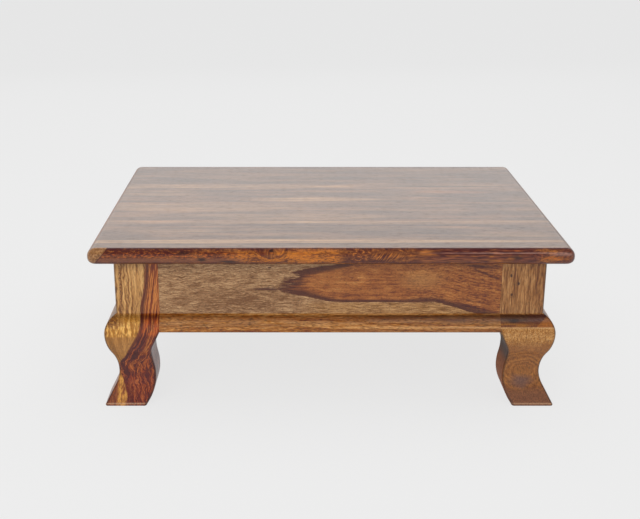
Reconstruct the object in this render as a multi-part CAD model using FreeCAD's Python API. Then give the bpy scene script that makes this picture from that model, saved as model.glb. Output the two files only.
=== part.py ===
# Bajot, a low sheesham table: a top of edge-glued boards on an apron frame with four cabriole legs.
# Sizes are millimetres. +Z is up, the front faces -Y, and the origin is on the floor at the centre.
import FreeCAD, Part
import math
import os

V = FreeCAD.Vector

# Overall sizes
top_length = 614.0
top_depth = 457.0
table_height = 220.0

# Top, made of boards that run from left to right
board_count = 4
top_thickness = 20.0
top_overhang = 29.0
top_corner_radius = 11.5
top_upper_round = 10.5
top_lower_round = 7.5
board_dowel_length = 40.0
board_dowel_place_shares = (-0.3, 0.0, 0.3)

# Leg post and the outer curve of the leg template, as swells out of the post face
post_size = 57.0
shoulder_height = 124.5
knee_drop = 24.5
knee_swell = 14.7
ankle_height = 44.0
ankle_swell = 0.0
flare_radius = 38.0
toe_swell = 18.6

# Inner curve of the leg template, as hollows into the inner post face
hollow_drop = 31.0
hollow_depth = 12.0
hollow_radius = 24.0
calf_height = 35.0
calf_depth = 8.3
heel_radius = 53.0
heel_depth = 20.8
leg_edge_round = 3.0
foot_edge_round = 1.6

# Aprons and their tenons
apron_thickness = 20.0
tenon_thickness = 10.0
tenon_length = 28.0
tenon_top_shoulder = 12.0
tenon_bottom_shoulder = 10.0
mortise_end_gap = 1.5

# Rail moulding under each apron
moulding_height = 21.5
moulding_edge_round = 2.0
moulding_dowel_length = 30.0
moulding_dowel_behind_share = 0.6
moulding_dowel_ahead_share = 0.2
moulding_screw_bite = 20.0
long_screw_place_shares = (-0.34, 0.0, 0.34)
short_screw_place_shares = (-0.28, 0.28)

# Corner blocks, notched round the post
block_reach = 60.0
block_height = 40.0
block_grip = 18.0
block_screw_bite = 14.0
block_screw_place_share = 0.36
block_edge_chamfer = 2.0

# Battens under the top
batten_width = 45.0
batten_thickness = 18.0
batten_end_gap = 0.5
batten_place_share = 0.6
batten_edge_chamfer = 2.0
top_screw_bite = 12.0

# Dowels and screws
dowel_diameter = 8.0
dowel_chamfer = 1.0
dowel_end_gap = 0.8
screw_diameter = 4.0
screw_head_diameter = 8.0
screw_head_rim = 0.4
screw_head_depth = 2.6
screw_tip_length = 4.0

# Fits and cuts
wood_fit = 0.1
screw_fit = 0.1
overrun = 5.0
fillet_limit_share = 0.95
near = 0.01

# Derived sizes
leg_height = table_height - top_thickness
post_half_length = top_length / 2 - top_overhang
post_half_depth = top_depth / 2 - top_overhang
long_span = 2 * (post_half_length - post_size)
short_span = 2 * (post_half_depth - post_size)
moulding_bottom = shoulder_height - moulding_height
knee_height = shoulder_height - knee_drop
hollow_height = moulding_bottom - hollow_drop
board_width = top_depth / board_count
dowel_radius = dowel_diameter / 2
screw_radius = screw_diameter / 2
template_reach = max(knee_swell, toe_swell) + overrun

# Sides of the frame: name, turn about Z in degrees, run between posts, place of the outer face
sides = (
    ("back", 0.0, long_span, post_half_depth, long_screw_place_shares),
    ("left", 90.0, short_span, post_half_length, short_screw_place_shares),
    ("front", 180.0, long_span, post_half_depth, long_screw_place_shares),
    ("right", 270.0, short_span, post_half_length, short_screw_place_shares),
)

# Corners of the frame: name, turn about Z in degrees, place of the outer post corner
corners = (
    ("back_right", 0.0, post_half_length, post_half_depth),
    ("back_left", 90.0, -post_half_length, post_half_depth),
    ("front_left", 180.0, -post_half_length, -post_half_depth),
    ("front_right", 270.0, post_half_length, -post_half_depth),
)


def box(x_range, y_range, z_range):
    """A box from its three ranges."""
    (x0, x1), (y0, y1), (z0, z1) = x_range, y_range, z_range
    return Part.makeBox(x1 - x0, y1 - y0, z1 - z0, V(x0, y0, z0))


def about(middle, size):
    """The range of one size about a middle."""
    return (middle - size / 2, middle + size / 2)


def turned(shape, angle, place):
    """A copy of a shape, turned about Z and then moved to its place."""
    copy = shape.copy()
    copy.rotate(V(0, 0, 0), V(0, 0, 1), angle)
    copy.translate(place)
    return copy


def aimed(shape, place, direction):
    """A copy of a shape that was made along +Z, aimed in a direction from its place."""
    copy = shape.copy()
    copy.Placement = FreeCAD.Placement(place, FreeCAD.Rotation(V(0, 0, 1), direction))
    return copy


def swapped(shape):
    """A mirrored copy of a shape, with X and Y changed over."""
    return shape.mirror(V(0, 0, 0), V(1, -1, 0))


def outward(angle, distance):
    """The place of a frame side whose outer face is that far from the middle."""
    turn = math.radians(angle)
    return V(-distance * math.sin(turn), distance * math.cos(turn), 0)


# Fasteners, made along +Z


def revolved(outline):
    """A solid of revolution about Z from points of radius and height."""
    points = [V(radius, 0, height) for radius, height in outline]
    wire = Part.makePolygon(points + points[:1])
    return Part.Face(wire).revolve(V(0, 0, 0), V(0, 0, 1), 360)


def dowel(length):
    """A fluteless dowel with chamfered ends, centred on its middle."""
    half = length / 2
    nose = dowel_radius - dowel_chamfer
    return revolved([
        (0, -half),
        (nose, -half),
        (dowel_radius, -half + dowel_chamfer),
        (dowel_radius, half - dowel_chamfer),
        (nose, half),
        (0, half),
    ])


def dowel_hole(length):
    """The cut for a dowel, with room round it and at both ends."""
    return Part.makeCylinder(
        dowel_radius + wood_fit,
        length + 2 * dowel_end_gap,
        V(0, 0, -length / 2 - dowel_end_gap),
    )


def wood_screw(length):
    """A countersunk wood screw with its head at zero and its point up."""
    return revolved([
        (0, 0),
        (screw_head_diameter / 2, 0),
        (screw_head_diameter / 2, screw_head_rim),
        (screw_radius, screw_head_depth),
        (screw_radius, length - screw_tip_length),
        (0, length),
    ])


def screw_hole(length):
    """The cut for a wood screw, open below its head."""
    head = screw_head_diameter / 2 + screw_fit
    shank = screw_radius + screw_fit
    return revolved([
        (0, -overrun),
        (head, -overrun),
        (head, screw_head_rim),
        (shank, screw_head_depth),
        (shank, length + screw_fit),
        (0, length + screw_fit),
    ])


# Leg template, drawn with the swell out of the post face along X and the height along Z


def arc(centre, start, end):
    """The short arc about a centre from start to end."""
    radius = (start - centre).Length
    middle = centre + ((start - centre) + (end - centre)).normalize() * radius
    return Part.Arc(start, middle, end).toShape()


def tangent_point(point, centre, radius, arc_start):
    """Where a line from a point touches a circle, on the side of the arc's start."""
    reach = point - centre
    bearing = math.atan2(reach.z, reach.x)
    spread = math.acos(radius / reach.Length)
    touches = [
        centre + V(math.cos(bearing + turn), 0, math.sin(bearing + turn)) * radius
        for turn in (spread, -spread)
    ]
    return min(touches, key=lambda touch: touch.distanceToPoint(arc_start))


def arc_to_line(start, centre, radius, end):
    """An arc from start that runs on as a straight line to end."""
    touch = tangent_point(end, centre, radius, start)
    return [arc(centre, start, touch), Part.makeLine(touch, end)]


def s_bend(upper, lower):
    """Two equal arcs between two points where the template stands upright."""
    side = math.copysign(1, lower.x - upper.x)
    shift, drop = abs(lower.x - upper.x), upper.z - lower.z
    radius = (shift**2 + drop**2) / (4 * shift)
    middle = (upper + lower) * 0.5
    return [
        arc(upper + V(side * radius, 0, 0), upper, middle),
        arc(lower - V(side * radius, 0, 0), middle, lower),
    ]


def outer_curve():
    """Shoulder, knee, ankle and flared foot, from the shoulder down to the toe."""
    shoulder = V(0, 0, shoulder_height)
    crest = V(knee_swell, 0, knee_height)
    ankle = V(ankle_swell, 0, ankle_height)
    toe = V(toe_swell, 0, 0)
    knee_radius = (knee_drop**2 + knee_swell**2) / (2 * knee_swell)
    knee = arc(crest - V(knee_radius, 0, 0), shoulder, crest)
    foot = arc_to_line(ankle, ankle + V(flare_radius, 0, 0), flare_radius, toe)
    return [knee] + s_bend(crest, ankle) + foot


def inner_curve():
    """The back of the knee, calf and heel, from the moulding's underside down to the heel."""
    corner = V(-post_size, 0, moulding_bottom)
    hollow = V(hollow_depth - post_size, 0, hollow_height)
    calf = V(calf_depth - post_size, 0, calf_height)
    heel = V(heel_depth - post_size, 0, 0)
    back = arc_to_line(hollow, hollow - V(hollow_radius, 0, 0), hollow_radius, corner)
    foot = arc_to_line(calf, calf + V(heel_radius, 0, 0), heel_radius, heel)
    return back + s_bend(hollow, calf) + foot


def template():
    """The face of the leg template up to the shoulder."""
    shoulder = V(0, 0, shoulder_height)
    inner_shoulder = V(-post_size, 0, shoulder_height)
    corner = V(-post_size, 0, moulding_bottom)
    toe = V(toe_swell, 0, 0)
    heel = V(heel_depth - post_size, 0, 0)
    straight = [
        Part.makeLine(shoulder, inner_shoulder),
        Part.makeLine(inner_shoulder, corner),
        Part.makeLine(heel, toe),
    ]
    edges = Part.sortEdges(outer_curve() + inner_curve() + straight)[0]
    return Part.Face(Part.Wire(edges))


# Legs, made with the outer post corner at the origin and both post faces looking out along +X and +Y


def sawn_leg():
    """The leg below its shoulder: one template sawn through the blank both ways, edges eased."""
    depth = post_size + 2 * template_reach
    one_way = template().extrude(V(0, depth, 0))
    one_way.translate(V(0, -post_size - template_reach, 0))
    body = one_way.common(swapped(one_way)).removeSplitter()
    long_edges = [edge for edge in body.Edges if is_long_leg_edge(edge)]
    body = body.makeFillet(leg_edge_round, long_edges)
    floor_edges = [edge for edge in body.Edges if edge.BoundBox.ZMax < near]
    return body.makeFillet(foot_edge_round, floor_edges)


def is_long_leg_edge(edge):
    """Whether an edge runs down the leg and may be eased: the knee's ends stay crisp for the moulding."""
    reach = edge.BoundBox
    if reach.ZLength < near:
        return False
    middle = edge.valueAt((edge.FirstParameter + edge.LastParameter) / 2)
    on_outer_corner = abs(middle.x - middle.y) < near and middle.x > -post_size / 2
    return on_outer_corner or reach.ZMax < moulding_bottom + near


def post():
    """The square post above the shoulder."""
    side = (-post_size, 0)
    body = box(side, side, (shoulder_height, leg_height))
    corner = [
        edge for edge in body.Edges
        if edge.BoundBox.XMin > -near and edge.BoundBox.YMin > -near
    ]
    return body.makeFillet(leg_edge_round, corner)


def mortise():
    """The cut for the tenon of the apron that runs along X."""
    return box(
        (-post_size - overrun, -post_size + tenon_length + mortise_end_gap),
        about(-apron_thickness / 2, tenon_thickness + 2 * wood_fit),
        (
            shoulder_height + tenon_bottom_shoulder - wood_fit,
            leg_height - tenon_top_shoulder + wood_fit,
        ),
    )


def moulding_dowel_places():
    """Swell and height of the dowels in a moulding's end."""
    height = moulding_bottom + moulding_height / 2
    return [
        (-moulding_dowel_behind_share * apron_thickness, height),
        (moulding_dowel_ahead_share * knee_swell, height),
    ]


def leg():
    """One leg with the mortises and dowel holes for both of its frame sides."""
    cuts = [mortise()]
    for swell, height in moulding_dowel_places():
        place = V(-post_size, swell, height)
        cuts.append(aimed(dowel_hole(moulding_dowel_length), place, V(1, 0, 0)))
    cuts += [swapped(cut) for cut in cuts]
    return sawn_leg().fuse(post()).removeSplitter().cut(cuts)


# Frame sides, made along X with the outer face at Y zero, looking out along +Y


def moulding_screw_length():
    """A moulding screw passes the moulding and bites into the apron."""
    return moulding_height + moulding_screw_bite


def moulding_screw_places(span, place_shares):
    """Where the moulding screws' heads sit, on the moulding's underside."""
    return [V(share * span, -apron_thickness / 2, moulding_bottom) for share in place_shares]


def apron(span, place_shares):
    """One apron with a tenon on each end."""
    board = box(about(0, span), (-apron_thickness, 0), (shoulder_height, leg_height))
    tenons = box(
        about(0, span + 2 * tenon_length),
        about(-apron_thickness / 2, tenon_thickness),
        (shoulder_height + tenon_bottom_shoulder, leg_height - tenon_top_shoulder),
    )
    cuts = [
        aimed(screw_hole(moulding_screw_length()), place, V(0, 0, 1))
        for place in moulding_screw_places(span, place_shares)
    ]
    place = block_screw_place()
    for end in (-1, 1):
        head = V(end * (span / 2 + post_size + place.x), place.y, place.z)
        cuts.append(aimed(screw_hole(block_screw_length()), head, V(0, 1, 0)))
    return board.fuse(tenons).removeSplitter().cut(cuts)


def moulding(span, place_shares):
    """One rail moulding, with the knee's own profile."""
    profile = template()
    profile.rotate(V(0, 0, 0), V(0, 0, 1), 90)
    blank = profile.extrude(V(span, 0, 0))
    blank.translate(V(-span / 2, 0, 0))
    keep = box(
        about(0, span),
        (-apron_thickness, template_reach),
        (moulding_bottom, shoulder_height),
    )
    body = blank.common(keep)
    lower_edge = [
        edge for edge in body.Edges
        if edge.BoundBox.ZMax < moulding_bottom + near and edge.BoundBox.YMin > near
    ]
    body = body.makeFillet(moulding_edge_round, lower_edge)
    cuts = [
        aimed(screw_hole(moulding_screw_length()), place, V(0, 0, 1))
        for place in moulding_screw_places(span, place_shares)
    ]
    for end in (-1, 1):
        for swell, height in moulding_dowel_places():
            place = V(end * span / 2, swell, height)
            cuts.append(aimed(dowel_hole(moulding_dowel_length), place, V(1, 0, 0)))
    return body.cut(cuts)


# Corner blocks, made about the same corner as a leg


def block_bottom():
    """The height of a block's underside."""
    return leg_height - block_height


def block_screw_length():
    """A block screw passes the block and bites into the apron."""
    return block_grip + block_screw_bite


def block_screw_place():
    """Where the block screw's head sits for the apron that runs along X, from the corner."""
    across = -(post_size + block_screw_place_share * block_reach)
    depth = -(apron_thickness + block_grip)
    return V(across, depth, leg_height - block_height / 2)


def top_screw_place():
    """Where the screw into the top starts, midway between the notch and the long face."""
    long_face = (post_size + block_reach + apron_thickness) / 2
    into = (post_size + long_face) / 2
    return V(-into, -into, block_bottom())


def block_top_screw_length():
    """The screw that passes a block and bites into the top."""
    return block_height + top_screw_bite


def corner_block():
    """One notched corner block with its screw holes."""
    notch = post_size + wood_fit
    far = post_size + block_reach
    points = [
        V(-notch, -apron_thickness, 0),
        V(-far, -apron_thickness, 0),
        V(-apron_thickness, -far, 0),
        V(-apron_thickness, -notch, 0),
        V(-notch, -notch, 0),
    ]
    outline = Part.Face(Part.makePolygon(points + points[:1]))
    body = outline.extrude(V(0, 0, block_height))
    body.translate(V(0, 0, block_bottom()))
    lower_edge = [edge for edge in body.Edges if is_block_lower_edge(edge)]
    body = body.makeChamfer(block_edge_chamfer, lower_edge)
    place = block_screw_place()
    pocket_radius = screw_head_diameter / 2 + screw_fit
    cuts = [
        aimed(screw_hole(block_screw_length()), place, V(0, 1, 0)),
        Part.makeCylinder(pocket_radius, block_reach, place, V(0, -1, 0)),
    ]
    cuts += [swapped(cut) for cut in cuts]
    cuts.append(aimed(screw_hole(block_top_screw_length()), top_screw_place(), V(0, 0, 1)))
    return body.cut(cuts)


def is_block_lower_edge(edge):
    """Whether an edge is the long lower one that looks into the table."""
    reach = edge.BoundBox
    low = reach.ZMax < block_bottom() + near
    return low and reach.XLength > near and reach.YLength > near


# Battens, which run from front to back under the top


def batten_x():
    """How far each batten lies from the middle, within the room between the corner blocks."""
    room = post_half_length - post_size - block_reach
    return batten_place_share * room


def batten_screw_length():
    """The screw that passes a batten and bites into the top."""
    return batten_thickness + top_screw_bite


def board_middles():
    """The middle of each board from front to back."""
    return [(index + 0.5) * board_width - top_depth / 2 for index in range(board_count)]


def batten_screw_places():
    """Where the batten screws' heads sit: one under each board that the batten crosses."""
    height = leg_height - batten_thickness
    return [
        V(side * batten_x(), clamp_to_batten(middle), height)
        for side in (-1, 1)
        for middle in board_middles()
    ]


def clamp_to_batten(middle):
    """A board's middle, kept within a batten's length."""
    limit = post_half_depth - apron_thickness - batten_width / 2
    return max(-limit, min(limit, middle))


def batten(side):
    """One batten with its screw holes."""
    length = 2 * (post_half_depth - apron_thickness - batten_end_gap)
    body = box(
        about(side * batten_x(), batten_width),
        about(0, length),
        (leg_height - batten_thickness, leg_height),
    )
    lower_edges = [
        edge for edge in body.Edges
        if edge.BoundBox.ZMax < leg_height - batten_thickness + near
        and edge.BoundBox.YLength > near
    ]
    body = body.makeChamfer(batten_edge_chamfer, lower_edges)
    return body.cut([
        aimed(screw_hole(batten_screw_length()), place, V(0, 0, 1))
        for place in batten_screw_places()
    ])


# Top


def top_slab():
    """The whole top with rounded corners and a full rounded edge, before it is parted into boards."""
    slab = box(about(0, top_length), about(0, top_depth), (leg_height, table_height))
    upright = [edge for edge in slab.Edges if edge.BoundBox.ZLength > near]
    slab = slab.makeFillet(top_corner_radius, upright)
    limit = fillet_limit_share * top_corner_radius
    upper = [edge for edge in slab.Edges if edge.BoundBox.ZMin > table_height - near]
    slab = slab.makeFillet(min(top_upper_round, limit), upper)
    lower = [edge for edge in slab.Edges if edge.BoundBox.ZMax < leg_height + near]
    return slab.makeFillet(min(top_lower_round, limit), lower)


def board_dowel_places():
    """The middles of the dowels across each glued seam of the top."""
    height = leg_height + top_thickness / 2
    return [
        V(share * top_length, seam * board_width - top_depth / 2, height)
        for seam in range(1, board_count)
        for share in board_dowel_place_shares
    ]


def top_screw_places():
    """Where the block screws that hold the top start, at all four corners."""
    return [
        turned(Part.Vertex(top_screw_place()), angle, V(x, y, 0)).Point
        for _, angle, x, y in corners
    ]


def top_boards():
    """The boards of the top from front to back, with dowel holes and pilot holes."""
    cuts = [aimed(dowel_hole(board_dowel_length), p, V(0, 1, 0)) for p in board_dowel_places()]
    for place in batten_screw_places():
        cuts.append(aimed(screw_hole(batten_screw_length()), place, V(0, 0, 1)))
    for place in top_screw_places():
        cuts.append(aimed(screw_hole(block_top_screw_length()), place, V(0, 0, 1)))
    slab = top_slab().cut(cuts)
    boards = []
    for middle in board_middles():
        piece = box(
            about(0, top_length + overrun),
            about(middle, board_width),
            (leg_height - overrun, table_height + overrun),
        )
        boards.append(slab.common(piece))
    return boards


# Assembly


def group(solids):
    """Several separate solids that share one node."""
    return Part.makeCompound(solids)


def nodes():
    """Every piece of the table by name."""
    made = {}
    for number, board in enumerate(top_boards(), start=1):
        made[f"top_board_{number}"] = board
    one_leg, one_block = leg(), corner_block()
    block_screws, top_screws = [], []
    for name, angle, x, y in corners:
        place = V(x, y, 0)
        made[f"leg_{name}"] = turned(one_leg, angle, place)
        made[f"corner_block_{name}"] = turned(one_block, angle, place)
        screw = aimed(wood_screw(block_screw_length()), block_screw_place(), V(0, 1, 0))
        block_screws += [turned(each, angle, place) for each in (screw, swapped(screw))]
    for head in top_screw_places():
        top_screws.append(aimed(wood_screw(block_top_screw_length()), head, V(0, 0, 1)))
    moulding_screws, moulding_dowels = [], []
    for name, angle, span, distance, place_shares in sides:
        place = outward(angle, distance)
        made[f"apron_{name}"] = turned(apron(span, place_shares), angle, place)
        made[f"moulding_{name}"] = turned(moulding(span, place_shares), angle, place)
        for head in moulding_screw_places(span, place_shares):
            screw = aimed(wood_screw(moulding_screw_length()), head, V(0, 0, 1))
            moulding_screws.append(turned(screw, angle, place))
        for end in (-1, 1):
            for swell, height in moulding_dowel_places():
                middle = V(end * span / 2, swell, height)
                pin = aimed(dowel(moulding_dowel_length), middle, V(1, 0, 0))
                moulding_dowels.append(turned(pin, angle, place))
    made["batten_left"] = batten(-1)
    made["batten_right"] = batten(1)
    made["batten_screws"] = group([
        aimed(wood_screw(batten_screw_length()), place, V(0, 0, 1))
        for place in batten_screw_places()
    ])
    made["board_dowels"] = group([
        aimed(dowel(board_dowel_length), place, V(0, 1, 0)) for place in board_dowel_places()
    ])
    made["corner_block_screws"] = group(block_screws)
    made["top_screws"] = group(top_screws)
    made["moulding_screws"] = group(moulding_screws)
    made["moulding_dowels"] = group(moulding_dowels)
    return made


def main():
    """Builds each node and writes it as a STEP file."""
    os.makedirs("parts", exist_ok=True)
    for name, shape in nodes().items():
        shape.exportStep(os.path.join("parts", name + ".step"))
        print(f"{name}: {len(shape.Solids)} solid, valid {shape.isValid()}, {shape.Volume:.0f} mm3")


main()
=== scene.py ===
"""The looks of a bajot: a low floor-seating table in lacquered sheesham, with cabriole legs."""

import logging
import math
from dataclasses import dataclass
from enum import Enum
from functools import reduce
from typing import Any, Callable

import bpy
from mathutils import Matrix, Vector

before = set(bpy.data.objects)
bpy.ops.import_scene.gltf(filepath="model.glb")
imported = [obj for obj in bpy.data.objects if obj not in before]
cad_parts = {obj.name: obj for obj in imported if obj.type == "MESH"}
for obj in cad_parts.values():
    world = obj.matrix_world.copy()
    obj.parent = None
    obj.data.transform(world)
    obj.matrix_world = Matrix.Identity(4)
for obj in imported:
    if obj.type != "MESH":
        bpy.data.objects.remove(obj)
LOG = logging.getLogger("bajot")
SEED_STEP = 37

Colour = tuple[float, float, float]
Place = tuple[float, float, float]
Pair = tuple[float, float]


@dataclass(frozen=True)
class Sizes:
    """The table's own sizes in millimetres, on which the figures in the wood are placed."""

    height: float = 220
    half_length: float = 307
    half_depth: float = 228.5
    board_half: float = 114.25
    post_x: float = 278
    post_y: float = 199.5
    post: float = 57
    shoulder: float = 124.5
    under_top: float = 200


TABLE = Sizes()


def srgb(red: int, green: int, blue: int) -> Colour:
    """A linear colour from screen values.

    Args:
        red: Red from 0 to 255.
        green: Green from 0 to 255.
        blue: Blue from 0 to 255.

    Returns:
        The colour in linear light.
    """
    def linear(value: int) -> float:
        """The linear part of one screen value."""
        share = value / 255
        return share / 12.92 if share <= 0.04045 else ((share + 0.055) / 1.055) ** 2.4

    return linear(red), linear(green), linear(blue)


def wood(red: int, green: int, blue: int) -> Colour:
    """The colour of wood beneath its lacquer, from the colour that both show together.

    Args:
        red: Red from 0 to 255, as seen.
        green: Green from 0 to 255, as seen.
        blue: Blue from 0 to 255, as seen.

    Returns:
        The wood's own colour in linear light, without the lacquer's even sheen.
    """
    sheen, light = 0.028, 0.9
    return tuple(max((value - sheen) / light, 0.004) for value in srgb(red, green, blue))


def cover(node: str, material: bpy.types.Material) -> None:
    """Makes a material the only one of a piece.

    Args:
        node: The name of the piece's node.
        material: The material.
    """
    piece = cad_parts[node]
    piece.data.materials.clear()
    piece.data.materials.append(material)
    LOG.info("dressed %s with %d nodes", node, len(material.node_tree.nodes))


def operator(operation: str, swapped: bool = False) -> Callable[..., "Signal"]:
    """Makes a method of Signal that adds one Math node.

    Args:
        operation: The node's operation.
        swapped: Whether the signal itself is the last value instead of the first.

    Returns:
        The method.
    """
    def method(signal: "Signal", *others: Any) -> "Signal":
        """Adds the node."""
        values = (*others, signal) if swapped else (signal, *others)
        return signal.shader.node("ShaderNodeMath", {"operation": operation}, dict(enumerate(values)))

    return method


class Signal:
    """One socket of a material's nodes, on which sums are written as Python expressions."""

    __add__, __radd__ = operator("ADD"), operator("ADD", swapped=True)
    __sub__, __rsub__ = operator("SUBTRACT"), operator("SUBTRACT", swapped=True)
    __mul__, __rmul__ = operator("MULTIPLY"), operator("MULTIPLY", swapped=True)
    __truediv__, __abs__ = operator("DIVIDE"), operator("ABSOLUTE")
    least, most, swing = operator("MINIMUM"), operator("MAXIMUM"), operator("SINE")

    def __init__(self, shader: "Shader", socket: Any) -> None:
        """Keeps the socket and the shader that it belongs to."""
        self.shader = shader
        self.socket = socket

    def rise(self, low: Any, high: Any) -> "Signal":
        """A soft step from 0 at one value to 1 at another.

        Args:
            low: Where the step starts.
            high: Where the step ends; below low, the step falls.

        Returns:
            The step, from 0 to 1.
        """
        settings = {"interpolation_type": "SMOOTHSTEP"}
        return self.shader.node("ShaderNodeMapRange", settings, {0: self, 1: low, 2: high})

    def near(self, place: Any, width: Any) -> "Signal":
        """A soft ridge that is 1 at a place and 0 at a width from it."""
        return abs(self - place).rise(width, 0)


Axes = tuple[Signal, Signal, Signal]


@dataclass(frozen=True)
class Mark:
    """A soft oval on a face, in millimetres: its middle and half-widths, and its turn in degrees."""

    middle: Pair
    radii: Pair
    soft: float = 0.5
    strength: float = 1
    turn: float = 0


class Shader:
    """The node tree of one material."""

    def __init__(self, name: str) -> None:
        """Starts an empty material.

        Args:
            name: The material's name.
        """
        self.material = bpy.data.materials.new(name)
        self.material.use_nodes = True
        self.tree = self.material.node_tree
        self.tree.nodes.clear()

    @classmethod
    def of_world(cls, world: bpy.types.World) -> "Shader":
        """The node tree of a world, emptied.

        Args:
            world: The world.

        Returns:
            Its tree as a shader.
        """
        made = cls.__new__(cls)
        made.material = world
        made.tree = world.node_tree
        made.tree.nodes.clear()
        return made

    def node(self, kind: str, settings: dict[str, Any] | None = None,
             inputs: dict[Any, Any] | None = None, output: int | str = 0) -> Signal:
        """Adds a node of any kind.

        Args:
            kind: The node's type.
            settings: Its own settings, with "stops" for a ramp and "points" for a curve.
            inputs: Values or signals for its sockets, by name or number.
            output: Which of its outputs is wanted.

        Returns:
            That output.
        """
        made = self.tree.nodes.new(kind)
        for key, value in (settings or {}).items():
            if key == "stops":
                self._set_stops(made.color_ramp, value)
            elif key == "points":
                self._set_points(made.mapping, value)
            else:
                setattr(made, key, value)
        for key, value in (inputs or {}).items():
            self._feed(made.inputs[key], value)
        return Signal(self, made.outputs[output])

    def _feed(self, socket: Any, value: Any) -> None:
        """Links a signal to a socket, or sets its value.

        Args:
            socket: The socket.
            value: A signal, a number, a colour or a vector.
        """
        if isinstance(value, Signal):
            self.tree.links.new(value.socket, socket)
        elif socket.type == "RGBA" and len(value) == 3:
            socket.default_value = (*value, 1)
        else:
            socket.default_value = value

    @staticmethod
    def _set_stops(ramp: Any, stops: list[tuple[float, Colour]]) -> None:
        """Gives a colour ramp its stops.

        Args:
            ramp: The ramp, which starts with two.
            stops: Place and colour of each.
        """
        while len(ramp.elements) < len(stops):
            ramp.elements.new(1)
        for element, (place, colour) in zip(ramp.elements, stops):
            element.position = place
            element.color = (*colour, 1)

    @staticmethod
    def _set_points(mapping: Any, points: list[Pair]) -> None:
        """Gives a curve its points.

        Args:
            mapping: The curve's mapping, which starts with two.
            points: Place and height of each, from 0 to 1.
        """
        curve = mapping.curves[0]
        while len(curve.points) < len(points):
            curve.points.new(0.5, 0.5)
        for point, place in zip(curve.points, points):
            point.location = place
            point.handle_type = "AUTO"
        mapping.update()

    def place(self) -> Axes:
        """The place on the piece, in millimetres along X, Y and Z."""
        return self._parts(self.scaled(self.node("ShaderNodeTexCoord", output="Object"), 1000))

    def _normal(self) -> Axes:
        """How far the surface faces along X, Y and Z."""
        return self._parts(self.node("ShaderNodeNewGeometry", output="Normal"))

    def _parts(self, vector: Signal) -> Axes:
        """The three parts of a vector."""
        parts = self.node("ShaderNodeSeparateXYZ", None, {0: vector}).socket.node
        return tuple(Signal(self, output) for output in parts.outputs)

    def corner(self) -> Signal:
        """Where an upright edge is rounded over: 0 on the faces and 1 in the middle of the edge."""
        aside, ahead, _ = self._normal()
        return abs(aside).least(abs(ahead)).rise(0.05, 0.4)

    def facing(self, side: float) -> Signal:
        """Where the surface faces left, for a side of -1, or right, for 1."""
        return (self._normal()[0] * side).rise(0.5, 0.8)

    def vector(self, x: Any, y: Any, z: Any) -> Signal:
        """A vector from its three parts."""
        return self.node("ShaderNodeCombineXYZ", None, {0: x, 1: y, 2: z})

    def noise(self, x: Any, y: Any, z: Any, detail: float = 2, rough: float = 0.5) -> Signal:
        """Cloudy noise from 0 to 1 at a place that is already scaled."""
        inputs = {"Vector": self.vector(x, y, z), "Scale": 1, "Detail": detail, "Roughness": rough}
        return self.node("ShaderNodeTexNoise", {"noise_dimensions": "3D"}, inputs)

    def curve(self, value: Signal, spread: Pair, points: tuple[Pair, ...], reach: Pair) -> Signal:
        """A smooth curve through points that are given in millimetres.

        Args:
            value: What the curve is read at.
            spread: The lowest and highest value that it is read at.
            points: Value and height of each point.
            reach: The lowest and highest height.

        Returns:
            The curve's height.
        """
        width, rise = spread[1] - spread[0], reach[1] - reach[0]
        scaled = [((at - spread[0]) / width, (height - reach[0]) / rise) for at, height in points]
        inputs = {"Factor": 1, "Value": (value - spread[0]) / width}
        return self.node("ShaderNodeFloatCurve", {"points": scaled}, inputs) * rise + reach[0]

    def scaled(self, colour: Signal, factor: Any) -> Signal:
        """A colour made lighter or darker."""
        return self.node("ShaderNodeVectorMath", {"operation": "SCALE"}, {0: colour, "Scale": factor})

    def mix(self, low: Any, high: Any, factor: Any, blend: str = "MIX") -> Signal:
        """A mix of two colours."""
        settings = {"data_type": "RGBA", "blend_type": blend, "clamp_factor": True}
        return self.node("ShaderNodeMix", settings, {0: factor, 6: low, 7: high}, 2)

    def layers(self, colour: Signal, *coats: tuple[Any, Any]) -> Signal:
        """A colour with others laid over it, one after the other.

        Args:
            colour: The colour at the bottom.
            coats: The colour and the mask of each of the others.

        Returns:
            The colour that they give together.
        """
        for coat, mask in coats:
            colour = self.mix(colour, coat, mask)
        return colour

    def length(self, across: Any, up: Any) -> Signal:
        """The distance from nought of a place with those two parts."""
        settings = {"operation": "LENGTH"}
        return self.node("ShaderNodeVectorMath", settings, {0: self.vector(across, up, 0)}, "Value")

    def _oval(self, across: Any, up: Any, mark: Mark) -> Signal:
        """One of the ovals of marks.

        Args:
            across: The first of the two directions in which it lies.
            up: The second direction.
            mark: The oval.

        Returns:
            Its mask, which is its strength inside it and 0 outside.
        """
        aside, above = across - mark.middle[0], up - mark.middle[1]
        if mark.turn:
            cosine, sine = math.cos(math.radians(mark.turn)), math.sin(math.radians(mark.turn))
            aside, above = aside * cosine + above * sine, above * cosine - aside * sine
        reach = self.length(aside / mark.radii[0], above / mark.radii[1])
        return reach.rise(1, 1 - mark.soft) * mark.strength

    def marks(self, across: Any, up: Any, *marks: Mark) -> Signal:
        """Some soft ovals together.

        Args:
            across: The first of the two directions in which they lie.
            up: The second direction.
            marks: The ovals.

        Returns:
            A mask that is the strength of each oval inside it, and 0 outside them all.
        """
        return reduce(Signal.most, [self._oval(across, up, mark) for mark in marks])

    def finish(self, **sockets: Any) -> bpy.types.Material:
        """Ends the material in a Principled shader with those sockets.

        Args:
            sockets: Values or signals, with underscores for spaces in the names.

        Returns:
            The finished material.
        """
        inputs = {name.replace("_", " "): value for name, value in sockets.items()}
        surface = self.node("ShaderNodeBsdfPrincipled", None, inputs)
        self.node_output(surface)
        return self.material

    def node_output(self, surface: Signal) -> None:
        """Links a surface to the material's output."""
        out = self.tree.nodes.new("ShaderNodeOutputMaterial")
        self.tree.links.new(surface.socket, out.inputs["Surface"])


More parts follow.
